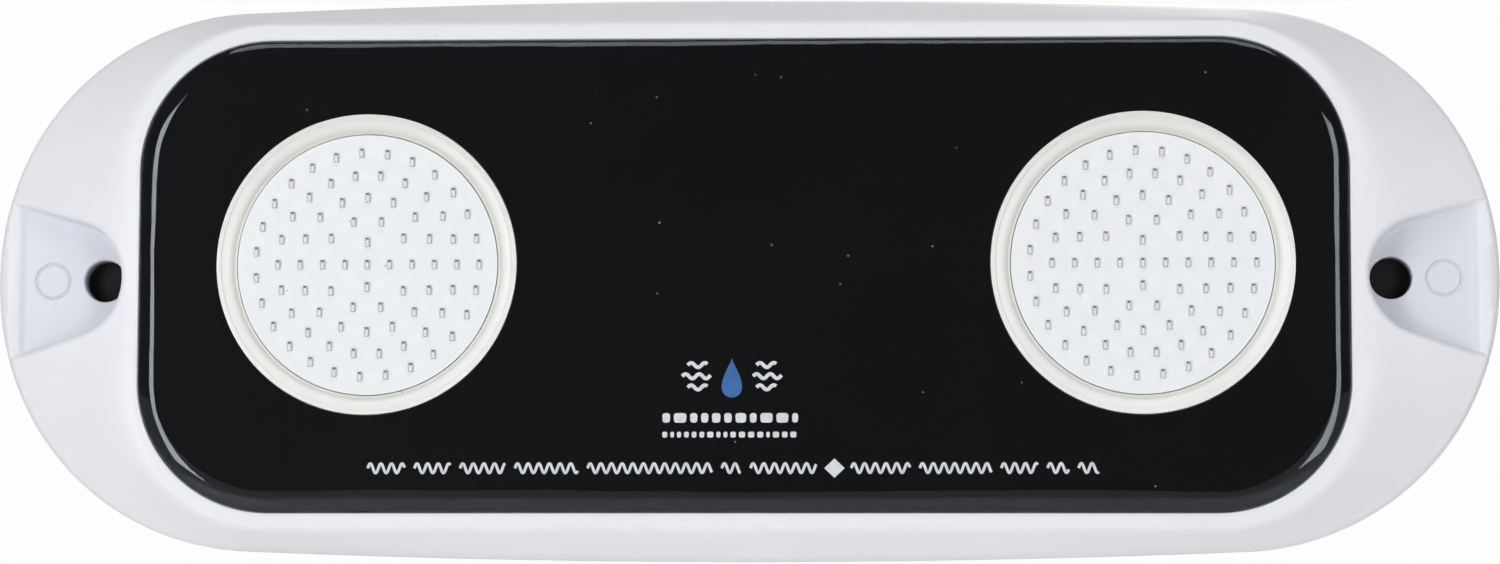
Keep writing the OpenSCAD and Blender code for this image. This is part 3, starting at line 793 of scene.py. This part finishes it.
def ribbon(line, half):
    """Ink of an even width along a line of points, made of short four-sided pieces."""
    line = np.asarray(line, float)
    ahead = np.gradient(line, axis=0)
    side = np.column_stack([-ahead[:, 1], ahead[:, 0]]) / np.hypot(ahead[:, 0], ahead[:, 1])[:, None] * half
    return plate_strip(line - side, line + side)

def plate_strip(right, left):
    n = len(right)
    points = np.vstack([at_height(right, ink_low), at_height(left, ink_low),
                        at_height(right, ink_high), at_height(left, ink_high)])
    faces = []
    for k in range(n - 1):
        j = k + 1
        faces += [(2 * n + k, 2 * n + j, 3 * n + j, 3 * n + k), (j, k, n + k, n + j),
                  (k, j, 2 * n + j, 2 * n + k), (n + j, n + k, 3 * n + k, 3 * n + j)]
    faces += [(0, 2 * n, 3 * n, n), (n - 1, 2 * n - 1, 4 * n - 1, 3 * n - 1)]
    return points, faces

def bar(x, y, length, width):
    a = np.linspace(-math.pi / 2, math.pi / 2, 7)
    end = np.column_stack([np.cos(a), np.sin(a)]) * width * 0.3
    half, lift = length / 2 - width * 0.3, width * 0.2
    ring = [(x + half + ex, y + ey + math.copysign(lift, ey)) for ex, ey in end]
    ring += [(x - half - ex, y + ey + math.copysign(lift, ey)) for ex, ey in end[::-1]]
    return plate_of(ring)

def ripple(x0, x1, y, high, pitch, half):
    x = np.linspace(x0, x1, max(int((x1 - x0) / pitch * 14), 8))
    return ribbon(np.column_stack([x, y + high * np.sin((x - x0) / pitch * 2 * math.pi)]), half)

print("a ripple of five waves has", len(ripple(0, 10, 0, 0.5, 2.0, 0.3)[1]), "faces")

# %% Print the drop and its ripples
mark_at = (-1.7, -20.1)
a = np.linspace(0, 2 * math.pi, 48, endpoint=False)
drop = np.column_stack([2.9 * np.sin(a) * np.sin(a / 2) ** 1.6, 3.9 * np.cos(a) - 0.3]) + mark_at
piece("drop_mark", *plate_of(drop[::-1]), "front_panel", [blue_ink], merge=False)
waves = []
for row, lift in enumerate((2.2, 0.0, -2.2)):
    for side in (-1, 1):
        near, far_end = 4.2 + 0.5 * abs(lift) * 0.6, 9.8 - 0.5 * abs(lift)
        x0, x1 = sorted((mark_at[0] + side * near, mark_at[0] + side * far_end))
        waves.append(ripple(x0, x1, mark_at[1] + lift, 0.45, 2.7, 0.36))
points, faces, _ = join(waves)
piece("ripple_mark", points, faces, "front_panel", [white_ink], merge=False)

# %% Print the bars and the line of ripples
bars = []
chance = np.random.default_rng(12)
for row_y, width, low, high, gap_mm in ((-28.3, 1.9, 1.2, 2.6, 0.7), (-31.6, 1.15, 0.7, 1.3, 0.55)):
    x = -15.4
    while x < 10.6:
        length = chance.uniform(low, high)
        bars.append(bar(x + length / 2, row_y, length, width))
        x += length + gap_mm
points, faces, _ = join(bars)
piece("small_bars", points, faces, "front_panel", [white_ink], merge=False)

runs, lozenge_x, line_y = [], 18.5, -38.2
for start, lengths in ((-73.6, (8.8, 8.6, 10.4, 13.9, 26.0, 5.2, 14.4)), (21.8, (13.0, 15.5, 8.6, 5.6, 5.4))):
    x = start
    for length in lengths:
        runs.append(ripple(x, x + length - 1.5, line_y, 0.95, 2.1, 0.27))
        x += length + 0.45
points, faces, _ = join(runs)
piece("ripple_line", points, faces, "front_panel", [white_ink], merge=False)
lozenge = [(lozenge_x + 2.0, line_y), (lozenge_x, line_y + 1.9), (lozenge_x - 2.0, line_y), (lozenge_x, line_y - 1.9)]
piece("lozenge_mark", *plate_of(lozenge), "front_panel", [white_ink], merge=False)

# %% [markdown]
# ## The light cups
# Each window is the mouth of a moulded cup in a cream, slightly translucent plastic. A narrow flat
# lip with a fine second line lies flush with the panel, a nearly flat ring lies just inside it, and a
# soft groove runs round the board with the chips, where the colour is darkened with depth as painted
# shade. The upper side is painted a shade darker, which is painted shade too. The cup is a turned
# shape from one profile.

# %% Turn the cups
def cream_cup():
    tree = new_tree("cream_cup")
    clouds = tree.noise(60, 3)
    grain = tree.noise(1800, 2)
    colour = tree.blend(clouds.over(0.3, 0.7), (0.92, 0.905, 0.85), (0.95, 0.935, 0.885))
    x, depth, height = tree.coordinates()
    # Painted shade: the upper side of the cup is coloured darker, as if less light falls on it.
    colour = tree.blend(height.over(-0.005, 0.035) * 0.9, colour, (0.82, 0.80, 0.745))
    # Painted shade: the cup darkens with depth towards the board, in the groove.
    colour = tree.blend(depth.over(-(panel_top - 0.7) * MM, -(led_face + 0.1) * MM) * 0.6, colour, (0.70, 0.71, 0.63))
    return tree.surface(tree.body(colour, 0.32 + 0.12 * clouds, IOR=1.48, Subsurface_Weight=0.15,
                                  Subsurface_Scale=0.002, Normal=tree.bump(grain, 0.00001, 0.3)))

cup_finish = cream_cup()
groove_r = board_r + 0.2
cup_r = window_r + 2.4
cup_outside = [(groove_r - 3, cup_back), (cup_r - 0.1, cup_back), (cup_r, cup_back + 0.15),
               (cup_r, panel_back - 0.15), (cup_r - 0.1, panel_back - 0.02), (window_r, panel_back - 0.02)]
lip_and_ring = [(0, 0.1), (0.04, 0.03), (0.12, 0.005), (0.42, 0.005), (0.47, 0.08), (0.55, 0.08), (0.6, 0.01),
                (0.82, 0.02), (0.92, 0.1), (1.0, 0.28), (1.15, 0.38), (1.5, 0.45), (2.0, 0.56), (2.35, 0.70),
                (2.65, 0.88), (2.9, 1.10), (3.12, 1.35)]
groove = [(window_r - 3.35, 0.02), (window_r - 3.5, 0.14), (window_r - 3.66, 0.16), (groove_r, 0.12),
          (groove_r - 0.04, 0.3)]
cup_profile = (cup_outside + [(window_r - inset, panel_top - drop) for inset, drop in lip_and_ring]
               + [(r, led_face - drop) for r, drop in groove]
               + [(groove_r - 0.04, led_seat - 0.02), (groove_r - 3, led_seat - 0.02)])
for side, centre in zip(("left", "right"), windows):
    points, faces = turned(cup_profile, 200, centre)
    piece("cup_" + side, points, faces, "light_cup", [cup_finish], ("light_cup_" + side,), crease=32)

# %% [markdown]
# ## The boards under the chips
# The round boards keep their measured shape. Their white mask lies over copper tracks, which show as
# faint rings that follow the rings of chips. The distance to the window's centre gives them, and it
# drives a little colour and a little bump.

# %% Coat the boards in white mask
led_rings = [1, 4, 10, 16, 22, 27]
led_pitch = (board_r - 3.6) / (len(led_rings) - 1)

def white_mask(name, centre):
    tree = new_tree(name)
    middle = (centre[0] * MM, -led_face * MM, centre[1] * MM)
    reach = tree.add("ShaderNodeVectorMath", {"operation": "DISTANCE"}, {0: tree.place(), 1: middle}, "Value")
    phase = reach * (2 * math.pi / (led_pitch * MM)) + math.pi / 2
    ring = phase.sine().over(-0.2, 0.55)
    mottle = tree.noise(300, 3)
    colour = tree.blend(ring * 0.6 + 0.4 * mottle, (0.88, 0.885, 0.88), (0.91, 0.91, 0.905))
    return tree.surface(tree.body(colour, 0.42 + 0.15 * mottle, Specular_IOR_Level=0.35,
                                  Normal=tree.bump(ring, 0.00003, 0.4)))

for side, centre in zip(("left", "right"), windows):
    dress("led_board_" + side, white_mask("white_mask_" + side, centre))

# %% [markdown]
# ## The light chips
# A chip is a tiny white box with a sloping frame round a well of pale phosphor, and a dark bar at
# one end. The box's sides and frame are coloured grey, as painted shade for the gaps round each chip.
# One chip is drawn once as rings of four corners, and then copied to its places: one in the
# middle and five rings round it, every chip the same way up.

# %% Colour the chips
def chip_finish(name, first, second, rough):
    tree = new_tree(name)
    fine = tree.noise(2400, 2)
    return tree.surface(tree.body(tree.blend(fine.over(0.3, 0.7), first, second), rough + 0.1 * fine))

# Painted shade: the frame's grey stands in for the shade in the gaps round each chip's white box.
chip_finishes = [chip_finish("chip_frame_painted_shade", (0.50, 0.51, 0.51), (0.58, 0.59, 0.59), 0.35),
                 chip_finish("chip_phosphor", (0.79, 0.79, 0.72), (0.84, 0.84, 0.79), 0.45),
                 chip_finish("chip_dark_end", (0.17, 0.175, 0.18), (0.24, 0.245, 0.25), 0.4)]

print("made", [finish.name for finish in chip_finishes])

# %% Draw one chip
well = led_h - 0.12
chip_steps = ((0.03, 0.0), (0, 0.04), (0, 0.40), (0.05, 0.56), (0.10, led_h), (0.15, led_h),
              (0.19, led_h - 0.08), (0.22, well))

def chip():
    """One chip: its points, its faces, and for each face 0 frame (painted shade), 1 phosphor or 2 dark end."""
    half_w, half_l = led_w / 2, led_l / 2
    corners = np.array([(half_w, -half_l), (half_w, half_l), (-half_w, half_l), (-half_w, -half_l)])
    points, faces = skin([at_height(corners - np.sign(corners) * inset, led_face + h) for inset, h in chip_steps])
    finish = []
    for index in range(len(faces)):
        ring, edge = divmod(index, 4)
        finish.append(2 if edge == 1 and ring >= 2 else 0 if ring < 5 else 1)
    last = len(points) - 4
    faces.append((last, last + 1, last + 2, last + 3))
    finish.append(1)
    bar_w, bar_near, bar_far = half_w - 0.2, half_l - 0.46, half_l - 0.18
    bar_points = [(x, y, led_face + h) for h in (well, led_h - 0.03)
                  for x, y in ((bar_w, bar_near), (bar_w, bar_far), (-bar_w, bar_far), (-bar_w, bar_near))]
    start = len(points)
    faces += [(start + 4, start + 5, start + 6, start + 7)]
    faces += [(start + k, start + (k + 1) % 4, start + 4 + (k + 1) % 4, start + 4 + k) for k in range(4)]
    finish += [2] * 5
    return np.vstack([points, bar_points]), faces, finish

print("one chip has", len(chip()[1]), "faces")

# %% Copy the chips to their places
for side, centre in zip(("left", "right"), windows):
    one, one_faces, one_finish = chip()
    points, faces, finish = [], [], []
    for ring, count in enumerate(led_rings):
        for k in range(count):
            a = 2 * math.pi * k / count
            shift = (centre[0] + ring * led_pitch * math.cos(a), centre[1] + ring * led_pitch * math.sin(a), 0)
            start = len(points) * len(one)
            points.append(one + shift)
            faces += [tuple(v + start for v in f) for f in one_faces]
            finish += one_finish
    piece("chips_" + side, np.vstack(points), faces, "led", chip_finishes, ("leds_" + side,), crease=20,
          face_finish=finish, merge=False)

# %% [markdown]
# ## The rubber pad
# A black rubber pad seals the light to the wall. It keeps its measured shape. Sheet rubber has a
# cloth print on its face and a greyish bloom in patches, so two crossed waves make the print and a
# broad noise makes the bloom.

# %% Mould the rubber
def rubber(name, dark, bloom, weave=0.0):
    tree = new_tree(name)
    patches = tree.noise(45, 4, 0.6)
    grain = tree.noise(900, 3)
    colour = tree.blend(patches.over(0.4, 0.75), dark, bloom)
    height = grain
    if weave:
        across, along = (tree.add("ShaderNodeTexWave", {"bands_direction": way},
                                  {"Vector": tree.place(), "Scale": weave}, "Fac") for way in "XZ")
        height = grain * 0.4 + across * along
    return tree.surface(tree.body(colour, 0.62 + 0.25 * patches, Specular_IOR_Level=0.35,
                                  Normal=tree.bump(height, 0.0001, 0.5)))

dress("mounting_pad", rubber("pad_rubber", (0.005, 0.005, 0.006), (0.016, 0.016, 0.017), 260.0))
seal_rubber = rubber("seal_rubber", (0.010, 0.010, 0.011), (0.028, 0.028, 0.03))
for node in ("gland_seal", "gland_washer"):
    dress(node, seal_rubber)

# %% [markdown]
# ## The cable gland
# The gland is plated brass. Its body has a hexagon for the spanner and a thread for the cap, and the
# cap is a domed hexagon nut that squeezes the rubber seal onto the cable. A hexagon is a turned shape
# whose radius stops at the flats, and its corners are cut by the turned cone, as on any real nut. A
# thread is a turned shape whose radius rises and falls once for each pitch, shifted as it goes round.

# %% Plate the brass
def metal(name, colour, tarnish, rough, along=(1, 1, 1), lines=600, bump=0.00001):
    tree = new_tree(name)
    stains = tree.noise(55, 4, 0.6)
    brushed = tree.noise(lines, 3, 0.6, tree.stretch(*along))
    shade = tree.blend(stains.over(0.45, 0.8), colour, tarnish)
    return tree.surface(tree.body(shade, rough + 0.12 * stains + 0.08 * brushed, Metallic=1.0,
                                  Normal=tree.bump(brushed, bump, 0.4)))

gland_metal = metal("gland_metal", (0.70, 0.68, 0.63), (0.52, 0.49, 0.42), 0.22, (1, 6, 1), 500)
print("made", gland_metal.name)

# %% Cut hexagons and threads
gland_centre = (0, gland_y)
gland_flats = size_mm("gland_body")[0] / 2 * math.cos(math.pi / 6)
low_cap, high_cap = height_mm("gland_cap")
low_body, high_body = height_mm("gland_body")
flange_low, flange_high = back_h - 6, back_h - 1
thread_r, thread_pitch, thread_deep = 8.0, 1.5, 0.55

def hexagon(r, h, a):
    corner = (a + math.pi / 6) % (math.pi / 3) - math.pi / 6
    return min(r, gland_flats / math.cos(corner))

def threaded(r, h, a):
    if abs(r - thread_r) > 0.01:
        return r
    turn_share = (h / thread_pitch - a / (2 * math.pi)) % 1
    return r - thread_deep * abs(2 * turn_share - 1)

corner_top = gland_flats / math.cos(math.pi / 6)
print("hexagon", round(2 * gland_flats, 2), "across its flats and", round(2 * corner_top, 2), "across its corners")

# %% Turn the cap nut
cable_r, cap_bore = 3.9, 8.1
cap_profile = [(cable_r, low_cap), (7.0, low_cap), (8.0, low_cap + 0.15), (8.9, low_cap + 0.7), (9.6, low_cap + 1.5),
               (gland_flats, low_cap + 2.2), (corner_top - 0.5, low_cap + 2.7), (corner_top, low_cap + 3.4),
               (corner_top, high_cap - 0.9), (gland_flats + 0.2, high_cap - 0.15), (gland_flats - 0.3, high_cap),
               (cap_bore, high_cap), (cap_bore, high_cap - 7.0), (cable_r, high_cap - 7.0)]
points, faces = turned(cap_profile, 144, gland_centre, hexagon)
piece("gland_nut", points, faces, "gland_metal", [gland_metal], ("gland_cap",), crease=28)

# %% Turn the stem
def thread_run(low, high):
    count = max(int((high - low) / (thread_pitch / 12)), 2)
    return [(thread_r, h) for h in np.linspace(low, high, count)]

neck_r = 7.3
tail = [(6.0, low_body), (thread_r - 0.7, low_body), (thread_r - 0.6, low_body + 0.05)]
spanner_hexagon = [(neck_r, flange_low - 0.7), (neck_r, flange_low), (gland_flats - 0.3, flange_low),
                   (gland_flats + 0.2, flange_low + 0.15), (corner_top, flange_low + 0.9),
                   (corner_top, flange_high - 0.9), (gland_flats + 0.2, flange_high - 0.15),
                   (gland_flats - 0.3, flange_high), (neck_r, flange_high), (neck_r, back_h)]
bore = [(thread_r - 0.7, high_body), (5.0, high_body), (5.0, back_h - 7), (6.0, back_h - 7)]
body_profile = (tail + thread_run(low_body + 0.1, flange_low - 0.9) + spanner_hexagon
                + thread_run(back_h + 0.2, high_body - 0.1) + bore)

def gland_shape(r, h, a):
    if r > thread_r + 0.5:
        return hexagon(r, h, a)
    return threaded(r, h, a)

points, faces = turned(body_profile, 144, gland_centre, gland_shape)
piece("gland_stem", points, faces, "gland_metal", [gland_metal], ("gland_body",), crease=28)
dress("gland_locknut", gland_metal)

# %% [markdown]
# ## Finishes inside the tub
# Nobody sees these parts until the light is taken to pieces, but a reusable model is taken to pieces.
# They keep their measured shapes, and each gets the finish of its real material: green mask with
# tracks, sleeved capacitors, dull ferrite, silicone wires and dark cured resin.

# %% Finish the inner parts
def plain_plastic(name, first, second, rough, grain=900.0, depth=0.00003):
    tree = new_tree(name)
    clouds = tree.noise(80, 3)
    fine = tree.noise(grain, 3)
    return tree.surface(tree.body(tree.blend(clouds.over(0.3, 0.7), first, second), rough + 0.12 * clouds,
                                  Normal=tree.bump(fine, depth, 0.4)))

def green_mask():
    tree = new_tree("green_mask")
    tracks = tree.add("ShaderNodeTexBrick", None, {"Vector": tree.stretch(1, 0, 1), "Scale": 90.0, "Mortar Size": 0.06,
                                                   "Brick Width": 0.7, "Row Height": 0.35}, "Fac")
    fine = tree.noise(500, 3)
    colour = tree.blend(tracks, (0.012, 0.13, 0.05), (0.03, 0.22, 0.09))
    return tree.surface(tree.body(colour, 0.3 + 0.15 * fine, Normal=tree.bump(tracks, 0.00004, 0.5)))

def cured_resin():
    tree = new_tree("cured_resin")
    bubbles = tree.add("ShaderNodeTexVoronoi", None, {"Vector": tree.place(), "Scale": 320.0}, "Distance")
    swell = tree.noise(30, 2)
    pits = (bubbles < 0.12) * 0.5
    colour = tree.blend(swell.over(0.3, 0.7), (0.045, 0.048, 0.055), (0.065, 0.07, 0.078))
    return tree.surface(tree.body(colour, 0.14 + 0.1 * swell + pits * 0.3, Normal=tree.bump(swell - pits, 0.0003, 0.5)))

steel = metal("screw_steel", (0.58, 0.58, 0.6), (0.42, 0.42, 0.43), 0.3, (1, 8, 1), 700)
aluminium = metal("turned_aluminium", (0.78, 0.78, 0.8), (0.66, 0.66, 0.68), 0.32, (1, 10, 1), 400)
can_metal = metal("capacitor_can", (0.72, 0.72, 0.73), (0.6, 0.6, 0.62), 0.3, (1, 1, 8), 500)
pad_silicone = plain_plastic("thermal_silicone", (0.36, 0.42, 0.48), (0.44, 0.5, 0.56), 0.7)
chip_black = plain_plastic("chip_black", (0.012, 0.012, 0.013), (0.022, 0.022, 0.023), 0.5, 1800.0)
inner = {"potting_resin": cured_resin(), "driver_board": green_mask(), "board_screws": steel,
         "thermal_pad_left": pad_silicone, "thermal_pad_right": pad_silicone,
         "heat_spreader_left": aluminium, "heat_spreader_right": aluminium, "capacitors": can_metal,
         "rectifier": chip_black, "driver_chips": chip_black, "chip_resistors": chip_black,
         "inductor": plain_plastic("ferrite", (0.035, 0.034, 0.034), (0.06, 0.058, 0.056), 0.7, 1400.0, 0.00006),
         "terminal_block": plain_plastic("terminal_blue", (0.02, 0.09, 0.42), (0.035, 0.13, 0.5), 0.38),
         "positive_wires": plain_plastic("wire_red", (0.45, 0.012, 0.012), (0.55, 0.025, 0.02), 0.5, 2200.0),
         "negative_wires": plain_plastic("wire_black", (0.012, 0.012, 0.012), (0.03, 0.03, 0.03), 0.5, 2200.0)}
for node, finish in inner.items():
    dress(node, finish)

# %% [markdown]
# ## The pale floor
# The light hangs clear of a plain pale floor. The floor glows a little, so that it stays pale far
# from the lamps, and a faint mottle keeps it from being one flat colour.

# %% Lay the floor
def floor_paint():
    tree = new_tree("floor_paint")
    mottle = tree.noise(2.0, 3)
    colour = tree.blend(mottle, (0.80, 0.80, 0.80), (0.84, 0.84, 0.84))
    return tree.surface(tree.body(colour, 0.8, Emission_Color=(1.0, 1.0, 1.0), Emission_Strength=0.12,
                                  Specular_IOR_Level=0.1))

floor_mesh = bpy.data.meshes.new("floor")
half_floor, floor_z = 40.0, -0.62
floor_corners = [(x * half_floor, y * half_floor, floor_z) for x, y in ((-1, -1), (1, -1), (1, 1), (-1, 1))]
floor_mesh.from_pydata(floor_corners, [], [(0, 1, 2, 3)])
floor_mesh.materials.append(floor_paint())
floor_obj = bpy.data.objects.new("floor", floor_mesh)
scene.collection.objects.link(floor_obj)
print("floor at", floor_z)

# %% [markdown]
# ## The studio
# A glossy black panel shows whatever stands in front of it, so the lamps stand to the sides and
# below, where only the rounded edge of the coat catches them. Each lamp is a soft panel. The air
# behind the light is near white, as a lit paper backdrop is, and dim in front of it, where the dark
# room would be.

# %% Set the lamps
middle = Vector((0, -0.009, 0))

def soft_lamp(name, off_axis, around, distance, width, height, glow, tint=(1, 1, 1)):
    """A soft panel off_axis degrees from straight ahead, around degrees from the right, aimed at the light."""
    off, turn = math.radians(off_axis), math.radians(around)
    toward = Vector((math.sin(off) * math.cos(turn), -math.cos(off), math.sin(off) * math.sin(turn)))
    lamp = bpy.data.lights.new(name, "AREA")
    lamp.shape, lamp.size, lamp.size_y = "RECTANGLE", width, height
    lamp.energy = glow * math.pi * width * height
    lamp.color = tint
    obj = bpy.data.objects.new(name, lamp)
    scene.collection.objects.link(obj)
    obj.location = middle + toward * distance
    obj.rotation_euler = (-toward).to_track_quat("-Z", "Y").to_euler()
    print(name, "energy", round(lamp.energy, 1))
    return obj

soft_lamp("left_lamp", 31.5, 180, 1.5, 0.36, 0.9, 8.8, (0.97, 0.98, 1.0))
soft_lamp("right_lamp", 31.5, 0, 1.5, 0.32, 0.9, 6.2, (0.97, 0.98, 1.0))
soft_lamp("low_lamp", 30, 270, 1.5, 1.1, 0.16, 0.9, (0.98, 0.99, 1.0))
soft_lamp("high_lamp", 56, 90, 1.6, 1.4, 0.6, 3.2)
soft_lamp("back_lamp", 150, 60, 2.4, 1.6, 1.2, 3.0)

# %% [markdown]
# ## The air round the light
# The camera sees a near-white backdrop. Lamps and mirrors see a dim room that gets brighter towards
# the back, so the panel stays black and the moulding's edges stay bright.

# %% Fill the air
def studio_air():
    tree = Tree(bpy.data.worlds.new("studio_air"))
    seen = tree.add("ShaderNodeLightPath", out="Is Camera Ray")
    backwards = tree.add("ShaderNodeSeparateXYZ", None, {0: tree.add("ShaderNodeTexCoord", out="Generated")}, "Y")
    room = 0.015 + 0.55 * backwards.over(-0.7, 0.5)
    backdrop = 0.985
    bright = seen * backdrop + (1 - seen) * room
    air = tree.add("ShaderNodeBackground", None, {"Color": (1.0, 1.0, 1.0), "Strength": bright})
    tree.add_output("ShaderNodeOutputWorld", air)
    return tree.owner

scene.world = studio_air()
print("the light hangs in", scene.world.name)
scene.view_settings.view_transform = "Standard"
scene.view_settings.look = "None"

# %% [markdown]
# ## The camera
# The camera stands a little to the right of the light and a little below it, a long way off, with a
# long lens. That is what shows the left wall of each screw hole, and hides the far side of the hole
# beside the left pocket's steep wall.

# %% Place the camera
def place_camera(right_of, below, distance, span, roll, aim):
    a, b = math.radians(right_of), math.radians(below)
    toward = Vector((math.sin(a) * math.cos(b), -math.cos(a) * math.cos(b), -math.sin(b)))
    lens = bpy.data.cameras.new("camera")
    lens.sensor_width, lens.lens = 36, 36 * distance / span
    lens.clip_start, lens.clip_end = 0.05, 200
    obj = bpy.data.objects.new("camera", lens)
    scene.collection.objects.link(obj)
    obj.location = aim + toward * distance
    obj.rotation_euler = (-toward).to_track_quat("-Z", "Y").to_euler()
    obj.rotation_euler.rotate_axis("Z", math.radians(roll))
    scene.camera = obj
    print("camera at", [round(v, 3) for v in obj.location], "lens", round(lens.lens, 1))

place_camera(2.84, 5.27, 0.875, 0.3002, 0.11, Vector((0.0012, -0.005, -0.0003)))

# %% [markdown]
